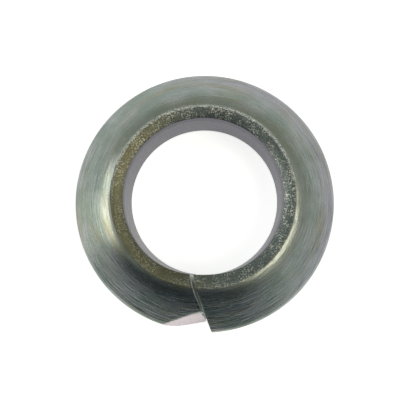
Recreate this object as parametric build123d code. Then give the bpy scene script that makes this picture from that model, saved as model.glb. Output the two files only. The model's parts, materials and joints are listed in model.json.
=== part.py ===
"""Conical spring washer: one turn of shaped spring steel, left open at a slanted split.

The ring lies with its wide nut side down.  Its outside is a crowned cone that narrows upwards to a
ridge, and from the ridge a short band turns down into a plain cylindrical bore.  The ring is coiled
left-handed, so one end of the split stands higher than the other.

Frame: millimetres, +Z along the bore axis, origin on that axis in the plane that the nut side's
lowest point touches, and the split at -Y.
"""
from build123d import *
import math
import os

# Overall sizes
BORE_DIAMETER = 22.5
OUTER_DIAMETER = 38.8
SECTION_HEIGHT = 6.8  # from the nut side to the ridge
RISE = 1.4  # how far one full turn of the coiling climbs

# Ridge, and the band that curves from it down into the bore
BAND_WIDTH = 1.6  # from the bore's wall out to the highest circle of the ridge
RIDGE_RADIUS = 0.4
BAND_RADIUS = 3.7  # curve of the band across its width
BAND_START_SLOPE = 12.0  # degrees that the band falls where it leaves the ridge
BORE_TOP_RADIUS = 0.25  # rounding where the band meets the bore
BORE_BASE_RADIUS = 0.35  # rounding where the bore meets the nut side

# Flank and rim
FLANK_TOP_SLOPE = 10.0  # degrees that the flank falls where it leaves the ridge
FLANK_TOP_HANDLE = 0.16  # share of the flank's length over which it keeps its top slope
FLANK_FOOT_HANDLE = 0.55  # share of its length over which it keeps its slope at the rim
RIM_HEIGHT = 1.9  # from the nut side to the rim's upper rounding
RIM_TOP_RADIUS = 1.2
RIM_BASE_RADIUS = 0.7

# Split
SPLIT_GAP = 0.45
SPLIT_SKEW = 14.6  # degrees that the split turns away from a radius, seen from above
SPLIT_LEAN = 5.5  # degrees that the split leans away from the axis
SHEARED_EDGE_RADIUS = 0.2  # rounding along the low end's upper edges

# Flat left on the low end's outer corner where the wire was cut off
CORNER_FLAT_INSET = 1.0  # how far inside the rim the flat meets the nut side
CORNER_FLAT_START = 0.68  # share of the way down the flank at which the flat begins
CORNER_FLAT_TURN = 11.5  # degrees that the flat turns towards the split

# Working allowances for the cuts
BORE_STOCK = 0.5  # left inside the swept section for the bore to be cut from
OVERRUN = 15.0  # degrees that each half runs past the split before it is trimmed
CUTTER_SIZE = OUTER_DIAMETER / 2
CUTTER_HEIGHT = 4 * SECTION_HEIGHT
TOUCH = 1e-3

BORE_RADIUS = BORE_DIAMETER / 2
OUTER_RADIUS = OUTER_DIAMETER / 2
RIDGE_CIRCLE = BORE_RADIUS + BAND_WIDTH
FLANK_FOOT_SLOPE = math.degrees(math.atan2(SECTION_HEIGHT - RIM_HEIGHT, OUTER_RADIUS - RIDGE_CIRCLE))
SPLIT_ANGLE = -90.0
HALF_TURN = 180.0
FULL_TURN = 360.0


def slope_direction(degrees):
    """Unit direction that falls outwards at an angle below level."""
    angle = math.radians(degrees)
    return Vector(math.cos(angle), -math.sin(angle))


def ridge_arc():
    """Rounding over the ridge, from the flank to the band."""
    centre = Vector(RIDGE_CIRCLE, SECTION_HEIGHT - RIDGE_RADIUS)
    return CenterArc(centre, RIDGE_RADIUS, 90 - FLANK_TOP_SLOPE, FLANK_TOP_SLOPE + BAND_START_SLOPE)


def band_arc():
    """Curve of the band, from the ridge's rounding to the stock inside the bore's wall."""
    start = ridge_arc() @ 1
    start_angle = 90 + BAND_START_SLOPE
    centre = start - BAND_RADIUS * Vector(1, 0).rotate(Axis.Z, start_angle)
    stock_radius = BORE_RADIUS - BORE_STOCK
    end_angle = math.degrees(math.acos((stock_radius - centre.X) / BAND_RADIUS))
    return CenterArc(centre, BAND_RADIUS, start_angle, end_angle - start_angle)


def rim_top_arc():
    """Rounding from the rim's upright side to the flank."""
    centre = Vector(OUTER_RADIUS - RIM_TOP_RADIUS, RIM_HEIGHT)
    return CenterArc(centre, RIM_TOP_RADIUS, 0, 90 - FLANK_FOOT_SLOPE)


def rim_base_arc():
    """Rounding from the nut side to the rim's upright side."""
    centre = Vector(OUTER_RADIUS - RIM_BASE_RADIUS, RIM_BASE_RADIUS)
    return CenterArc(centre, RIM_BASE_RADIUS, -90, 90)


def flank_curve():
    """Crowned flank, from the ridge's rounding down to the rim's."""
    top = ridge_arc() @ 0
    foot = rim_top_arc() @ 1
    length = (foot - top).length
    top_handle = top + FLANK_TOP_HANDLE * length * slope_direction(FLANK_TOP_SLOPE)
    foot_handle = foot - FLANK_FOOT_HANDLE * length * slope_direction(FLANK_FOOT_SLOPE)
    return Bezier(top, top_handle, foot_handle, foot)


def section_outline():
    """Closed outline of the ring's section: X is the radius and Y the height above the nut side."""
    band_end = band_arc() @ 1
    inner_base = Vector(band_end.X, 0)
    inner_side = Line(band_end, inner_base)
    nut_side = Line(inner_base, rim_base_arc() @ 0)
    rim = Line(rim_base_arc() @ 1, rim_top_arc() @ 0)
    return [
        ridge_arc(),
        flank_curve(),
        rim_top_arc(),
        rim,
        rim_base_arc(),
        nut_side,
        inner_side,
        band_arc(),
    ]


def coiled_stretch(start_angle, turn, start_height):
    """Section swept clockwise through turn degrees, climbing as the coil does."""
    section = Plane.XZ * make_face(section_outline())
    climb = RISE * turn / FULL_TURN
    path = Helix(pitch=RISE, height=climb, radius=RIDGE_CIRCLE, lefthand=True)
    stretch = Solid.sweep(section.face(), path, is_frenet=True)
    return Rot(0, 0, start_angle) * Pos(0, 0, start_height) * stretch


def split_plane(offset):
    """Plane of one end's cut face, moved along its normal, which points towards +X."""
    middle = Pos(0, -(BORE_RADIUS + OUTER_RADIUS) / 2, SECTION_HEIGHT / 2)
    facing_right = Rot(0, 90, 0)
    return Plane(middle * Rot(0, 0, SPLIT_SKEW) * Rot(0, -SPLIT_LEAN, 0) * facing_right).offset(offset)


def block_beyond(plane):
    """Block on the side of a plane that its normal points to, large enough for the split's section."""
    return plane * Pos(0, 0, CUTTER_SIZE / 2) * Box(CUTTER_SIZE, CUTTER_SIZE, CUTTER_SIZE)


def corner_flat_plane():
    """Plane of the flat on the low end, with its normal facing outwards and up."""
    start = flank_curve() @ CORNER_FLAT_START
    foot_radius = OUTER_RADIUS - CORNER_FLAT_INSET
    lean = math.degrees(math.atan2(foot_radius - start.X, start.Y))
    facing_front = Rot(90, 0, 0)
    return Plane(Pos(0, -foot_radius, 0) * Rot(0, 0, CORNER_FLAT_TURN) * Rot(-lean, 0, 0) * facing_front)


def low_half():
    """Left half: from the low end of the split clockwise to the back of the ring."""
    stretch = coiled_stretch(SPLIT_ANGLE + OVERRUN, HALF_TURN + OVERRUN, -RISE * OVERRUN / FULL_TURN)
    trimmed = stretch - block_beyond(split_plane(-SPLIT_GAP / 2))
    return trimmed - block_beyond(corner_flat_plane())


def high_half():
    """Right half: from the back of the ring clockwise to the high end of the split."""
    stretch = coiled_stretch(SPLIT_ANGLE + HALF_TURN, HALF_TURN + OVERRUN, RISE / 2)
    return stretch - block_beyond(-split_plane(SPLIT_GAP / 2))


def is_high(edge):
    """Whether an edge lies in the upper half of the section."""
    return edge.center().Z > SECTION_HEIGHT / 2


def is_low(edge):
    """Whether an edge lies in the lower half of the section."""
    return not is_high(edge)


def bore_edges(ring):
    """Long edges of the bore's cylinder: its upper and lower rims, without its edges at the split."""
    walls = ring.faces().filter_by(GeomType.CYLINDER)
    return ShapeList({edge for edge in walls.edges() if edge.length > BORE_RADIUS})


def lies_on(face, plane):
    """Whether a flat face lies on a plane and faces the same way."""
    distance = abs((face.center() - plane.origin).dot(plane.z_dir))
    return distance < TOUCH and face.normal_at().dot(plane.z_dir) > 1 - TOUCH


def sheared_edges(ring):
    """Edges of the low end's cut face that the shear rolled over: all but those at the nut side."""
    cut_plane = split_plane(-SPLIT_GAP / 2)
    flat_faces = ring.faces().filter_by(GeomType.PLANE)
    cut_face = [face for face in flat_faces if lies_on(face, cut_plane)][0]
    return ShapeList([edge for edge in cut_face.edges() if edge.center().Z > BORE_BASE_RADIUS])


def spring_washer():
    """The whole washer, with its bore cut true and its worn edges rounded."""
    seam_in_split = Rot(0, 0, SPLIT_ANGLE)
    ring = low_half() + high_half()
    ring -= seam_in_split * Cylinder(BORE_RADIUS, CUTTER_HEIGHT)
    ring = fillet(bore_edges(ring).filter_by(is_high), BORE_TOP_RADIUS)
    ring = fillet(bore_edges(ring).filter_by(is_low), BORE_BASE_RADIUS)
    ring = fillet(sheared_edges(ring), SHEARED_EDGE_RADIUS)
    return Pos(0, 0, -ring.bounding_box().min.Z) * ring


def main():
    os.makedirs("parts", exist_ok=True)
    washer = spring_washer()
    export_step(washer.solid(), "parts/spring_washer.step")


if __name__ == "__main__":
    main()
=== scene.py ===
"""Studio scene of a conical spring washer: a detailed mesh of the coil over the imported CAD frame."""
import json
import math
from types import SimpleNamespace

import bpy
import numpy as np
from mathutils import Matrix, Vector


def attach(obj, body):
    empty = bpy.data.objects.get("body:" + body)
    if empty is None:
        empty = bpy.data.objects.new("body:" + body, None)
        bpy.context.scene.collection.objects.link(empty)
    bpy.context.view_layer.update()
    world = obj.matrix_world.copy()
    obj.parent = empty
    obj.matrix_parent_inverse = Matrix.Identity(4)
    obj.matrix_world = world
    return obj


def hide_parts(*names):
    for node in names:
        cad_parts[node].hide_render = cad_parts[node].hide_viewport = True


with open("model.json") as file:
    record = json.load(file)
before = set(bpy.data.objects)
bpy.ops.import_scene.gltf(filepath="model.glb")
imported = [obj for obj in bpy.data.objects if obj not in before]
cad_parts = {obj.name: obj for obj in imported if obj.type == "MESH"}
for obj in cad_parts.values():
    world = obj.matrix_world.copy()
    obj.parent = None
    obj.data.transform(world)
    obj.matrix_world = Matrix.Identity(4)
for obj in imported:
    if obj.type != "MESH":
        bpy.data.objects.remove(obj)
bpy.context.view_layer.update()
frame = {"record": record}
MM = 0.001

# ---------------------------------------------------------------- sizes in millimetres, named as in part.py
NODE = "spring_washer"
BODY = "root"
BORE_MOUNT = next(mount for mount in frame["record"]["mounts"] if mount["name"] == "bore")
BORE_RADIUS = BORE_MOUNT["dims"]["r_mm"]
OUTER_RADIUS = 19.4
RISE = 1.4
SECTION_HEIGHT = 6.8
BAND_WIDTH = 1.6
RIDGE_CIRCLE = BORE_RADIUS + BAND_WIDTH
RIDGE_RADIUS = 0.4
BAND_RADIUS = 3.7
BAND_START_SLOPE = 12.0
BORE_TOP_RADIUS = 0.15  # crisper than the part's 0.25
BORE_BASE_RADIUS = 0.35
FLANK_TOP_SLOPE = 10.0
FLANK_TOP_HANDLE = 0.16
FLANK_FOOT_HANDLE = 0.55
RIM_HEIGHT = 1.9
RIM_TOP_RADIUS = 1.2
RIM_BASE_RADIUS = 0.7
FLANK_FOOT_SLOPE = math.degrees(math.atan2(SECTION_HEIGHT - RIM_HEIGHT, OUTER_RADIUS - RIDGE_CIRCLE))
SPLIT_GAP = 0.45
SPLIT_SKEW = math.radians(14.6)
SPLIT_LEAN = math.radians(5.5)
CORNER_FLAT_INSET = 1.0
CORNER_FLAT_START = 0.68
CORNER_FLAT_TURN = math.radians(11.5)

# ---------------------------------------------------------------- mesh density and end details
STEPS_AROUND = 600
WALL_STEPS = 14
NUT_SIDE_STEPS = 20
RIM_BASE_STEPS = 8
RIM_STEPS = 2
FLANK_STEPS = 44
BAND_STEPS = 20
ROUNDING_STEPS = 6
ROLL_STEPS = 6
CAP_STEPS = 9
SPLIT_SEARCH_STEPS = 8
SPLIT_SEARCH_STRIDE = 1e-5  # share of a turn
LOW_END_ROLL = 0.25  # rounding that the shear left on the low end, 0.2 in the part
HIGH_END_ROLL = 0.06
FLAT_SOFTNESS = 0.02  # how softly the corner flat meets the flank
FLAT_REACH = 8 * FLAT_SOFTNESS  # how far inside the flat the pressing stops
WORN_WIDTH = 1.3  # how wide the low end's worn corners are
WORN_BORE_DEPTH = 0.12
WORN_RIM_START = 16.9  # radius at which the wear towards the rim begins
WORN_RIM_DEPTH = 0.5
LIP_DEPTH = 0.45  # how far the bore's upper edge leans inwards at the ends
LIP_REACH = math.radians(26)

# ---------------------------------------------------------------- camera, lamps and table
CAMERA_PLACE = (1.60, -7.15, 58.28)
CAMERA_AIM = (0.96, -1.32, 0.7)
CAMERA_LENS = 31.94
SENSOR_WIDTH = 36.0
CLIP_START = 0.001
LAMP_DISTANCE = 0.5
TABLE_REACH = 1.5
WARM = (1.0, 0.95, 0.82)
# name, azimuth, zenith angle, size (across, tall) in metres, radiance, colour
SOFTBOXES = (
    ("left_softbox", 186, 67, (0.22, 0.22), 3.0, (1.0, 0.96, 0.86)),
    ("left_window", 163, 60, (0.12, 0.22), 3.0, (0.93, 0.97, 1.0)),
    ("right_softbox", 3, 30, (0.13, 0.22), 1.7, WARM),
    ("low_right_softbox", -24, 34, (0.26, 0.22), 2.9, (1.0, 0.94, 0.80)),
)


def radial(degrees):
    """Unit vector of the section plane at an angle from its outward axis."""
    return np.array([math.cos(math.radians(degrees)), math.sin(math.radians(degrees))])


def arc(centre, radius, start, end, steps):
    """Points of an arc, without its last point."""
    angles = np.linspace(start, end, steps, endpoint=False)
    return [centre + radius * radial(angle) for angle in angles]


def line(start, end, steps):
    """Points of a straight stretch, without its last point."""
    shares = np.linspace(0, 1, steps, endpoint=False)
    return [start + share * (end - start) for share in shares]


def bezier(points, shares):
    """Points of a cubic Bezier curve at the given shares."""
    p0, p1, p2, p3 = points
    return [
        (1 - s) ** 3 * p0 + 3 * (1 - s) ** 2 * s * p1 + 3 * (1 - s) * s**2 * p2 + s**3 * p3
        for s in shares
    ]


def flank_handles():
    """The four control points of the flank, from the rim's rounding up to the ridge's."""
    ridge_centre = np.array([RIDGE_CIRCLE, SECTION_HEIGHT - RIDGE_RADIUS])
    rim_centre = np.array([OUTER_RADIUS - RIM_TOP_RADIUS, RIM_HEIGHT])
    top = ridge_centre + RIDGE_RADIUS * radial(90 - FLANK_TOP_SLOPE)
    foot = rim_centre + RIM_TOP_RADIUS * radial(90 - FLANK_FOOT_SLOPE)
    length = np.linalg.norm(foot - top)
    foot_handle = foot + FLANK_FOOT_HANDLE * length * radial(180 - FLANK_FOOT_SLOPE)
    top_handle = top + FLANK_TOP_HANDLE * length * radial(-FLANK_TOP_SLOPE)
    return foot, foot_handle, top_handle, top


def section_outline():
    """Outline of the section, (radius, height) in millimetres, anticlockwise from the bore's top."""
    foot, foot_handle, top_handle, top = flank_handles()
    ridge_centre = np.array([RIDGE_CIRCLE, SECTION_HEIGHT - RIDGE_RADIUS])
    band_centre = ridge_centre + (RIDGE_RADIUS - BAND_RADIUS) * radial(90 + BAND_START_SLOPE)
    rim_top_centre = np.array([OUTER_RADIUS - RIM_TOP_RADIUS, RIM_HEIGHT])
    rim_base_centre = np.array([OUTER_RADIUS - RIM_BASE_RADIUS, RIM_BASE_RADIUS])
    base_centre = np.array([BORE_RADIUS + BORE_BASE_RADIUS, BORE_BASE_RADIUS])
    inner_curve = BAND_RADIUS - BORE_TOP_RADIUS
    edge_radius = BORE_RADIUS + BORE_TOP_RADIUS
    band_end = math.acos((edge_radius - band_centre[0]) / inner_curve)
    edge_centre = np.array([edge_radius, band_centre[1] + inner_curve * math.sin(band_end)])
    band_end = math.degrees(band_end)
    wall_top = edge_centre + BORE_TOP_RADIUS * radial(180)
    wall_base = base_centre + BORE_BASE_RADIUS * radial(180)
    base_start = base_centre + BORE_BASE_RADIUS * radial(270)
    base_end = rim_base_centre + RIM_BASE_RADIUS * radial(-90)
    rim_low = rim_base_centre + RIM_BASE_RADIUS * radial(0)
    rim_high = rim_top_centre + RIM_TOP_RADIUS * radial(0)
    outline = line(wall_top, wall_base, WALL_STEPS)
    outline += arc(base_centre, BORE_BASE_RADIUS, 180, 270, ROUNDING_STEPS)
    outline += line(base_start, base_end, NUT_SIDE_STEPS)
    outline += arc(rim_base_centre, RIM_BASE_RADIUS, -90, 0, RIM_BASE_STEPS)
    outline += line(rim_low, rim_high, RIM_STEPS)
    outline += arc(rim_top_centre, RIM_TOP_RADIUS, 0, 90 - FLANK_FOOT_SLOPE, ROUNDING_STEPS)
    flank_shares = np.linspace(0, 1, FLANK_STEPS, endpoint=False)
    outline += bezier((foot, foot_handle, top_handle, top), flank_shares)
    band_start = 90 + BAND_START_SLOPE
    outline += arc(ridge_centre, RIDGE_RADIUS, 90 - FLANK_TOP_SLOPE, band_start, ROUNDING_STEPS)
    outline += arc(band_centre, BAND_RADIUS, band_start, band_end, BAND_STEPS)
    outline += arc(edge_centre, BORE_TOP_RADIUS, band_end, 180, ROUNDING_STEPS)
    return np.array(outline)


def outline_normals(outline):
    """Outward normals of a closed anticlockwise outline."""
    tangent = np.roll(outline, -1, axis=0) - np.roll(outline, 1, axis=0)
    normal = np.stack([tangent[:, 1], -tangent[:, 0]], axis=1)
    return normal / np.linalg.norm(normal, axis=1, keepdims=True)


# ---------------------------------------------------------------- the coil in space
SPLIT_MIDDLE = np.array([0.0, -(BORE_RADIUS + OUTER_RADIUS) / 2, SECTION_HEIGHT / 2])
SPLIT_NORMAL = np.array(
    [
        math.cos(SPLIT_SKEW) * math.cos(SPLIT_LEAN),
        math.sin(SPLIT_SKEW) * math.cos(SPLIT_LEAN),
        math.sin(SPLIT_LEAN),
    ]
)


def coil_points(section, turns):
    """Section points carried the given share of a turn clockwise from the split."""
    angle = -math.pi / 2 - 2 * math.pi * turns
    radius = section[..., 0]
    height = section[..., 1] + RISE * turns
    return np.stack([radius * np.cos(angle), radius * np.sin(angle), height], axis=-1)


def turns_at_split(section, offset, guess):
    """Share of a turn at which each section point meets the split plane moved by an offset."""
    turns = np.full(section.shape[:-1], float(guess))
    stride = SPLIT_SEARCH_STRIDE
    for _ in range(SPLIT_SEARCH_STEPS):
        distance = (coil_points(section, turns) - SPLIT_MIDDLE) @ SPLIT_NORMAL - offset
        ahead = (coil_points(section, turns + stride) - SPLIT_MIDDLE) @ SPLIT_NORMAL - offset
        turns = turns - distance * stride / (ahead - distance)
    return turns


def corner_setback(outline):
    """How far the low end's face is worn back at its bore side and at its rim, for each outline point."""
    radius = outline[:, 0]
    at_bore = np.clip((BORE_RADIUS + WORN_WIDTH - radius) / WORN_WIDTH, 0, 1)
    at_rim = np.clip((radius - WORN_RIM_START) / WORN_WIDTH, 0, 1)
    return WORN_BORE_DEPTH * at_bore + WORN_RIM_DEPTH * at_rim


def end_rings(outline, normals, side, roll):
    """Rings that round an end's edge over and close its cut face, from the coil's side inwards."""
    guess = 0.0 if side < 0 else 1.0
    worn = corner_setback(outline) if side < 0 else 0.0
    rings = []
    for number in range(ROLL_STEPS + 1):
        angle = math.radians(90) * number / ROLL_STEPS
        section = outline - roll * (1 - math.cos(angle)) * normals
        setback = roll * (1 - math.sin(angle)) + worn
        turns = turns_at_split(section, side * (SPLIT_GAP / 2 + setback), guess)
        rings.append(coil_points(section, turns))
    middle = section.mean(axis=0)
    for number in range(1, CAP_STEPS + 1):
        share = 1 - number / (CAP_STEPS + 1)
        inner = middle + share * (section - middle)
        turns = turns_at_split(inner, side * (SPLIT_GAP / 2 + share * worn), guess)
        rings.append(coil_points(inner, turns))
    centre_turns = turns_at_split(middle[None, :], side * SPLIT_GAP / 2, guess)
    return rings, coil_points(middle[None, :], centre_turns)[0]


def coil_rings(outline, normals):
    """Every ring of the coil from the middle of one cut face to the middle of the other."""
    low_rings, low_centre = end_rings(outline, normals, -1, LOW_END_ROLL)
    high_rings, high_centre = end_rings(outline, normals, 1, HIGH_END_ROLL)
    low_turns = turns_at_split(outline, -SPLIT_GAP / 2 - LOW_END_ROLL - corner_setback(outline), 0.0)
    high_turns = turns_at_split(outline, SPLIT_GAP / 2 + HIGH_END_ROLL, 1.0)
    side_rings = []
    for number in range(1, STEPS_AROUND):
        share = number / STEPS_AROUND
        turns = low_turns + share * (high_turns - low_turns)
        side_rings.append(coil_points(outline, turns))
    rings = low_rings[::-1] + side_rings + high_rings
    return np.array(rings), low_centre, high_centre


def corner_flat_plane():
    """A point and the horizontal part and slope of the flat's outward normal."""
    foot, foot_handle, top_handle, top = flank_handles()
    start = bezier((top, top_handle, foot_handle, foot), [CORNER_FLAT_START])[0]
    foot_radius = OUTER_RADIUS - CORNER_FLAT_INSET
    lean = math.atan2(foot_radius - start[0], start[1])
    across = np.array([math.sin(CORNER_FLAT_TURN), -math.cos(CORNER_FLAT_TURN), 0.0])
    return np.array([0.0, -foot_radius, 0.0]), across, math.tan(lean)


def press_corner_flat(points):
    """Moves what stands outside the low end's corner flat level inwards onto it."""
    origin, across, slope = corner_flat_plane()
    outside = (points - origin) @ across + slope * points[:, 2]
    smooth = (outside + np.sqrt(outside**2 + 4 * FLAT_SOFTNESS**2)) / 2
    shift = np.where(outside < -FLAT_REACH, 0.0, smooth)
    return points - shift[:, None] * across


def lean_ends_in(points):
    """Leans the coil's upper part inwards close to the split."""
    radius = np.hypot(points[..., 0], points[..., 1])
    from_split = np.arctan2(points[..., 0], -points[..., 1])
    upward = np.clip(points[..., 2] / SECTION_HEIGHT, 0, 1)
    share = np.exp(-((from_split / LIP_REACH) ** 2)) * upward**2
    scale = 1 - LIP_DEPTH * share / radius
    return points * np.stack([scale, scale, np.ones_like(scale)], axis=-1)


def washer_mesh():
    """The whole coil as one closed mesh."""
    outline = section_outline()
    normals = outline_normals(outline)
    rings, low_centre, high_centre = coil_rings(outline, normals)
    ring_count, width = rings.shape[:2]
    low_half = rings[: ring_count // 3].reshape(-1, 3)
    rings[: ring_count // 3] = press_corner_flat(low_half).reshape(-1, width, 3)
    low_centre = press_corner_flat(low_centre[None, :])[0]
    points = np.concatenate([rings.reshape(-1, 3), [low_centre, high_centre]])
    points = lean_ends_in(points)
    points[:, 2] -= points[:, 2].min()

    faces = []
    for ring in range(ring_count - 1):
        here = ring * width
        there = here + width
        for spot in range(width):
            following = (spot + 1) % width
            faces.append((here + spot, here + following, there + following, there + spot))
    low_index = ring_count * width
    high_index = low_index + 1
    last = (ring_count - 1) * width
    for spot in range(width):
        following = (spot + 1) % width
        faces.append((low_index, following, spot))
        faces.append((high_index, last + spot, last + following))
    mesh = bpy.data.meshes.new("washer_coil")
    mesh.from_pydata((points * MM).tolist(), [], faces)
    mesh.polygons.foreach_set("use_smooth", [True] * len(mesh.polygons))
    mesh.update()
    return mesh


def place(name, data):
    """Puts new data into the scene as an object."""
    made = bpy.data.objects.new(name, data)
    bpy.context.scene.collection.objects.link(made)
    return made


# ---------------------------------------------------------------- camera and light
def add_camera():
    """Camera over the washer, with +Y upwards in the picture."""
    data = bpy.data.cameras.new("camera")
    data.sensor_width = SENSOR_WIDTH
    data.lens = CAMERA_LENS
    data.clip_start = CLIP_START
    camera = place("camera", data)
    camera.location = Vector(CAMERA_PLACE) * MM
    aim = Vector(CAMERA_AIM) * MM
    back = (camera.location - aim).normalized()
    right = Vector((0, 1, 0)).cross(back).normalized()
    camera.rotation_euler = Matrix((right, back.cross(right), back)).transposed().to_euler()
    bpy.context.scene.camera = camera


def add_softbox(name, azimuth, zenith_angle, size, radiance, colour):
    """Rectangular lamp aimed at the washer; angles in degrees, size (across, tall) in metres."""
    data = bpy.data.lights.new(name, "AREA")
    data.shape = "RECTANGLE"
    data.size, data.size_y = size
    data.energy = radiance * math.pi * size[0] * size[1]
    data.color = colour
    lamp = place(name, data)
    turn, rise = math.radians(azimuth), math.radians(90 - zenith_angle)
    away = Vector((math.cos(turn) * math.cos(rise), math.sin(turn) * math.cos(rise), math.sin(rise)))
    lamp.location = LAMP_DISTANCE * away
    lamp.rotation_euler = away.to_track_quat("Z", "Y").to_euler()


# ---------------------------------------------------------------- materials
class Nodes:
    """Short calls for building one material's node tree."""

    def __init__(self, name):
        self.material = bpy.data.materials.new(name)
        self.material.use_nodes = True
        self.tree = self.material.node_tree
        self.tree.nodes.clear()

    @classmethod
    def for_tree(cls, tree):
        made = cls.__new__(cls)
        made.tree = tree
        tree.nodes.clear()
        return made

    def add(self, kind, inputs=None, **settings):
        made = self.tree.nodes.new(kind)
        for key, value in settings.items():
            setattr(made, key, value)
        for key, value in (inputs or {}).items():
            self.feed(made.inputs[key], value)
        return made

    def feed(self, socket, value):
        if isinstance(value, bpy.types.NodeSocket):
            self.tree.links.new(value, socket)
        else:
            socket.default_value = value

    def math(self, operation, first, second=0.0, third=0.0):
        made = self.add("ShaderNodeMath", {0: first, 1: second, 2: third}, operation=operation)
        return made.outputs[0]

    def times(self, first, *others):
        """Product of values or sockets."""
        for other in others:
            first = self.math("MULTIPLY", first, other)
        return first

    def distance_past(self, coordinates, normal, level):
        """How far the place lies beyond a plane along its normal, in millimetres."""
        along = self.add(
            "ShaderNodeVectorMath", {0: coordinates, 1: tuple(normal)}, operation="DOT_PRODUCT"
        ).outputs["Value"]
        return self.math("MULTIPLY_ADD", along, 1 / MM, -float(level))

    def smooth_step(self, value, low, high):
        made = self.add(
            "ShaderNodeMapRange",
            {"Value": value, "From Min": low, "From Max": high},
            interpolation_type="SMOOTHSTEP",
        )
        return made.outputs["Result"]

    def mix(self, share, first, second):
        made = self.add("ShaderNodeMix", data_type="RGBA")
        self.feed(made.inputs["Factor"], share)
        self.feed(made.inputs[6], first)
        self.feed(made.inputs[7], second)
        return made.outputs[2]

    def noise(self, vector, scale, detail=2.0, roughness=0.5, weight=None):
        made = self.add("ShaderNodeTexNoise", {"Scale": scale, "Detail": detail, "Roughness": roughness})
        if weight is not None:
            made.noise_dimensions = "4D"
            self.feed(made.inputs["W"], weight)
        self.feed(made.inputs["Vector"], vector)
        return made.outputs["Fac"]


# Colours of the metal, in linear light
GREEN_ZINC = (0.27, 0.325, 0.295, 1)
GREY_ZINC = (0.38, 0.41, 0.405, 1)
OLIVE_ZINC = (0.30, 0.285, 0.19, 1)
VIOLET_ZINC = (0.40, 0.39, 0.46, 1)
DARK_LINE = (0.07, 0.08, 0.085, 1)
PALE_LINE = (0.55, 0.57, 0.56, 1)
BAND_OLIVE = (0.17, 0.16, 0.09, 1)
BAND_GREEN = (0.165, 0.19, 0.175, 1)
BAND_GLINT = (0.85, 0.85, 0.74, 1)
CREASE_GLINT = (0.85, 0.88, 0.85, 1)
BORE_WALL = (0.19, 0.185, 0.22, 1)
CUT_FLAT = (0.66, 0.58, 0.62, 1)
SHEARED_FACE = (0.62, 0.70, 0.64, 1)
# Near-white painted highlight on the sheared face at its bore corner
SHEARED_CORNER_HIGHLIGHT = (0.95, 0.96, 0.95, 1)
# Near-black painted shade in the pits and under the burrs of the low end
BURR_SHADE = (0.02, 0.025, 0.02, 1)

# Where each mask begins and where it is full, in millimetres
BAND_EDGE = (RIDGE_CIRCLE + 0.5, RIDGE_CIRCLE - 0.1)
BAND_HEIGHTS = (5.2, 5.6)
WALL_EDGE = (BORE_RADIUS + 0.08, BORE_RADIUS + 0.02)
LIP_HEIGHTS = (4.6, 5.4)
CREASE_CIRCLE = RIDGE_CIRCLE - 0.05
CREASE_SPREAD = (0.32, 0.05)
RIM_TINT_EDGE = (15.5, 18.5)
CREASE_TINT_EDGE = (15.6, 13.4)
# where the sheared face's painted highlight begins and where it is full
BORE_CORNER_HIGHLIGHT_EDGE = (12.5, 11.7)
FLAT_EDGE = (-0.24, -0.12)
LOW_SIDE_EDGE = (0.05, -0.05)
SHEAR_BACK_EDGE = (-0.38, -0.28)
SHEAR_FRONT_EDGE = (0.0, -0.1)
# Where the low end's burrs get their painted shade
BURR_SHADE_BACK_EDGE = (-0.62, -0.48)
BURR_SHADE_FRONT_EDGE = (-0.22, -0.34)
BURR_SHADE_INNER_EDGE = (14.0, 14.8)
BURR_SHADE_OUTER_EDGE = (16.9, 16.5)

# The same for masks by side, as the y share of the direction from the axis
FRONT_SIDE = (-0.5, -0.7)
LIP_SIDE = (-0.72, -0.86)
BACK_SIDE = (-0.1, 0.6)
STREAKY_SIDE = (0.95, 0.15)


def coil_places(n):
    """Radius and height in millimetres, and the direction from the axis as its x and y shares."""
    coordinates = n.add("ShaderNodeTexCoord").outputs["Object"]
    x, y, z = n.add("ShaderNodeSeparateXYZ", {0: coordinates}).outputs
    radius = n.math("SQRT", n.math("ADD", n.times(x, x), n.times(y, y)))
    return SimpleNamespace(
        coordinates=coordinates,
        radius=n.times(radius, 1 / MM),
        height=n.times(z, 1 / MM),
        east=n.math("DIVIDE", x, radius),
        north=n.math("DIVIDE", y, radius),
    )


def drawn_lines(n, at, frequency, length, detail):
    """Noise drawn out round the coil, with its lines per millimetre across."""
    vector = n.add(
        "ShaderNodeCombineXYZ",
        {0: n.times(at.east, length), 1: n.times(at.north, length), 2: n.times(at.radius, frequency)},
    ).outputs[0]
    return n.noise(vector, 1.0, detail, 0.6, n.times(at.height, frequency))


def steel_textures(n, at):
    """The noises that the colour, roughness and relief share."""
    return SimpleNamespace(
        fine_lines=drawn_lines(n, at, 4.2, 5.0, 3.0),
        broad_lines=drawn_lines(n, at, 0.9, 2.0, 2.0),
        cloud=n.noise(at.coordinates, 260.0, 3.0),
        grain=n.noise(at.coordinates, 5200.0, 2.0, 0.6),
        patches=n.noise(at.coordinates, 700.0, 2.0),
    )


def band_and_bore_masks(n, at, texture):
    """Masks of the inner band, the bore's wall and the glinting crease at the back."""
    wandering = n.math("MULTIPLY_ADD", texture.patches, 0.5, at.radius)
    high = n.smooth_step(at.height, *BAND_HEIGHTS)
    leaned_in = n.times(n.smooth_step(at.height, *LIP_HEIGHTS), n.smooth_step(at.north, *LIP_SIDE))
    from_crease = n.math("ABSOLUTE", n.math("SUBTRACT", at.radius, CREASE_CIRCLE))
    return SimpleNamespace(
        band=n.times(n.smooth_step(wandering, *BAND_EDGE), high),
        wall=n.times(n.smooth_step(at.radius, *WALL_EDGE), n.math("SUBTRACT", 1.0, leaned_in)),
        crease=n.times(
            n.smooth_step(from_crease, *CREASE_SPREAD), high, n.smooth_step(at.north, *BACK_SIDE)
        ),
    )


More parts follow.
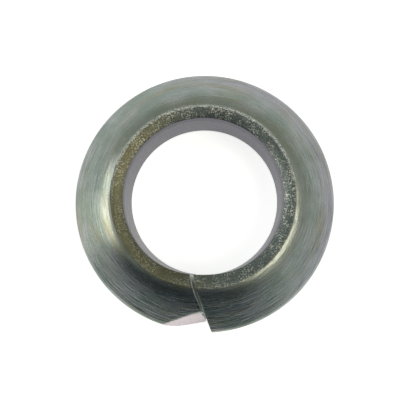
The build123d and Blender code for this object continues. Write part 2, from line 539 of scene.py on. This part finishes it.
def end_masks(n, at, texture):
    """Masks of the low end's corner flat, sheared face, and the painted shade at its burrs."""
    origin, across, slope = corner_flat_plane()
    past_flat = n.distance_past(at.coordinates, (across[0], across[1], slope), origin @ across)
    from_split = n.distance_past(at.coordinates, SPLIT_NORMAL, SPLIT_MIDDLE @ SPLIT_NORMAL)
    front = n.smooth_step(at.north, *FRONT_SIDE)
    return SimpleNamespace(
        flat=n.times(
            front, n.smooth_step(from_split, *LOW_SIDE_EDGE), n.smooth_step(past_flat, *FLAT_EDGE)
        ),
        shear=n.times(
            n.smooth_step(from_split, *SHEAR_BACK_EDGE), n.smooth_step(from_split, *SHEAR_FRONT_EDGE), front
        ),
        # the burrs are real, their near-black spots are painted shade
        burr_shade=n.times(
            n.smooth_step(from_split, *BURR_SHADE_BACK_EDGE),
            n.smooth_step(from_split, *BURR_SHADE_FRONT_EDGE),
            front,
            n.smooth_step(at.radius, *BURR_SHADE_INNER_EDGE),
            n.smooth_step(at.radius, *BURR_SHADE_OUTER_EDGE),
            n.smooth_step(texture.grain, 0.50, 0.56),
        ),
    )


def flank_colour(n, at, texture, to_right):
    """Clouded green and grey zinc with violet rim, olive streaks and dark and pale lines."""
    streaky = n.math("MULTIPLY_ADD", n.smooth_step(at.north, *STREAKY_SIDE), 0.7, 0.3)
    violet = n.times(n.smooth_step(to_right, -0.1, 0.8), n.smooth_step(at.radius, *RIM_TINT_EDGE), 0.75)
    streaks = n.times(n.smooth_step(texture.broad_lines, 0.45, 0.7), 0.55)
    dark_lines = n.times(n.smooth_step(texture.fine_lines, 0.52, 0.72), streaky, 0.6)
    pale_lines = n.times(n.smooth_step(texture.fine_lines, 0.47, 0.33), streaky, 0.3)
    by_crease = n.times(n.smooth_step(at.radius, *CREASE_TINT_EDGE), 0.35)
    colour = n.mix(n.smooth_step(texture.cloud, 0.35, 0.65), GREEN_ZINC, GREY_ZINC)
    colour = n.mix(violet, colour, VIOLET_ZINC)
    colour = n.mix(streaks, colour, OLIVE_ZINC)
    colour = n.mix(dark_lines, colour, DARK_LINE)
    colour = n.mix(pale_lines, colour, PALE_LINE)
    return n.mix(by_crease, colour, OLIVE_ZINC)


def band_colour(n, at, texture, to_right):
    """Olive on the left and green elsewhere, with dark grain and glints that grow to the right."""
    to_left = n.math("MULTIPLY_ADD", at.east, -1.0, n.times(at.north, -0.2))
    glints = n.times(
        n.smooth_step(texture.grain, 0.52, 0.64),
        n.smooth_step(texture.patches, 0.3, 0.6),
        n.math("MULTIPLY_ADD", to_right, 0.35, 0.6),
    )
    colour = n.mix(n.smooth_step(to_left, -0.2, 0.7), BAND_GREEN, BAND_OLIVE)
    colour = n.mix(n.smooth_step(texture.grain, 0.3, 0.6), n.mix(0.5, colour, DARK_LINE), colour)
    return n.mix(glints, colour, BAND_GLINT)


def steel_colour(n, at, texture, inner, end):
    """The metal's whole colour: flank, band, crease, wall and the low end's cut faces, with a painted
    highlight at the sheared face's bore corner and painted shade at the burrs.
    """
    to_right = n.math("MULTIPLY_ADD", at.east, 0.8, n.times(at.north, 0.45))
    crease_glints = n.times(inner.crease, n.smooth_step(texture.grain, 0.4, 0.55), 0.6)
    bore_corner_highlight = n.smooth_step(at.radius, *BORE_CORNER_HIGHLIGHT_EDGE)
    colour = n.mix(inner.band, flank_colour(n, at, texture, to_right), band_colour(n, at, texture, to_right))
    colour = n.mix(crease_glints, colour, CREASE_GLINT)
    colour = n.mix(inner.wall, colour, BORE_WALL)
    colour = n.mix(end.flat, colour, CUT_FLAT)
    # the sheared face turns into a near-white painted highlight at its bore corner
    colour = n.mix(end.shear, colour, n.mix(bore_corner_highlight, SHEARED_FACE, SHEARED_CORNER_HIGHLIGHT))
    # painted shade at the burrs, near-black
    return n.mix(end.burr_shade, colour, BURR_SHADE)


def steel_roughness(n, texture, inner, end):
    """Rougher along the lines, in the band and on the sheared face."""
    rough = n.math("MULTIPLY_ADD", texture.fine_lines, 0.18, 0.19)
    rough = n.math("MULTIPLY_ADD", inner.band, 0.10, rough)
    return n.math("MULTIPLY_ADD", end.shear, 0.2, rough)


def steel_relief(n, texture, inner):
    """Bumped normal: lines everywhere, and grain that is strong in the band and on the crease."""
    line_height = n.math("ADD", n.times(texture.fine_lines, 1.5), texture.broad_lines)
    grainy = n.math("MULTIPLY_ADD", inner.crease, 3.0, n.times(inner.band, 2.5))
    grain_height = n.times(texture.grain, grainy)
    small_grain = n.times(texture.grain, 0.35)
    relief = n.math("ADD", n.math("ADD", line_height, grain_height), small_grain)
    return n.add("ShaderNodeBump", {"Strength": 0.7, "Distance": 0.00004, "Height": relief}).outputs[0]


def steel_material():
    """Passivated zinc over turned spring steel: fine lines round the coil and a grainy inner band."""
    n = Nodes("zinc_plated_steel")
    at = coil_places(n)
    texture = steel_textures(n, at)
    inner = band_and_bore_masks(n, at, texture)
    end = end_masks(n, at, texture)
    shader = n.add(
        "ShaderNodeBsdfPrincipled",
        {
            "Base Color": steel_colour(n, at, texture, inner, end),
            "Metallic": 1.0,
            "Roughness": steel_roughness(n, texture, inner, end),
            "Normal": steel_relief(n, texture, inner),
        },
    )
    n.add("ShaderNodeOutputMaterial", {"Surface": shader.outputs[0]})
    return n.material


def floor_material():
    """Matt white table that looks clean white to the camera and dimmer in reflections."""
    n = Nodes("white_table")
    paths = n.add("ShaderNodeLightPath")
    in_metal = n.math("MULTIPLY", paths.outputs["Is Glossy Ray"], 0.4)
    seen = n.math("MULTIPLY_ADD", paths.outputs["Is Camera Ray"], 0.7, in_metal)
    glow = n.add("ShaderNodeEmission", {"Strength": seen})
    matt = n.add("ShaderNodeBsdfDiffuse", {"Color": (0.86, 0.86, 0.86, 1)})
    both = n.add("ShaderNodeAddShader", {0: glow.outputs[0], 1: matt.outputs[0]})
    n.add("ShaderNodeOutputMaterial", {"Surface": both.outputs[0]})
    return n.material


def studio_world():
    """Room seen in the metal, dark in front and overhead, with a background that is white to the camera."""
    world = bpy.data.worlds.new("studio")
    bpy.context.scene.world = world
    world.use_nodes = True
    n = Nodes.for_tree(world.node_tree)
    direction = n.add("ShaderNodeTexCoord").outputs["Generated"]
    apart = n.add("ShaderNodeSeparateXYZ", {0: direction})
    x, y, z = apart.outputs
    forward = n.math("MULTIPLY_ADD", x, -0.3, n.math("MULTIPLY", y, -0.95))
    in_front = n.smooth_step(forward, 0.32, 0.76)
    overhead = n.smooth_step(z, 0.86, 0.985)
    room = n.mix(in_front, (0.46, 0.49, 0.47, 1), (0.025, 0.038, 0.06, 1))
    room = n.mix(overhead, room, (0.17, 0.17, 0.15, 1))
    seen = n.add("ShaderNodeLightPath").outputs["Is Camera Ray"]
    background = n.add("ShaderNodeBackground", {"Color": n.mix(seen, room, (1, 1, 1, 1)), "Strength": 1.0})
    n.add("ShaderNodeOutputWorld", {"Surface": background.outputs[0]})


def add_floor():
    """Flat table under the washer."""
    mesh = bpy.data.meshes.new("table")
    reach = TABLE_REACH
    corners = [(-reach, -reach, 0), (reach, -reach, 0), (reach, reach, 0), (-reach, reach, 0)]
    mesh.from_pydata(corners, [], [(0, 1, 2, 3)])
    mesh.materials.append(floor_material())
    floor = place("table", mesh)


# ---------------------------------------------------------------- build
scene = bpy.context.scene
scene.view_settings.view_transform = "Standard"
add_camera()
add_floor()
studio_world()
for softbox in SOFTBOXES:
    add_softbox(*softbox)

coil = place("washer_coil", washer_mesh())
coil.data.materials.append(steel_material())
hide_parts(NODE)
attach(coil, BODY)
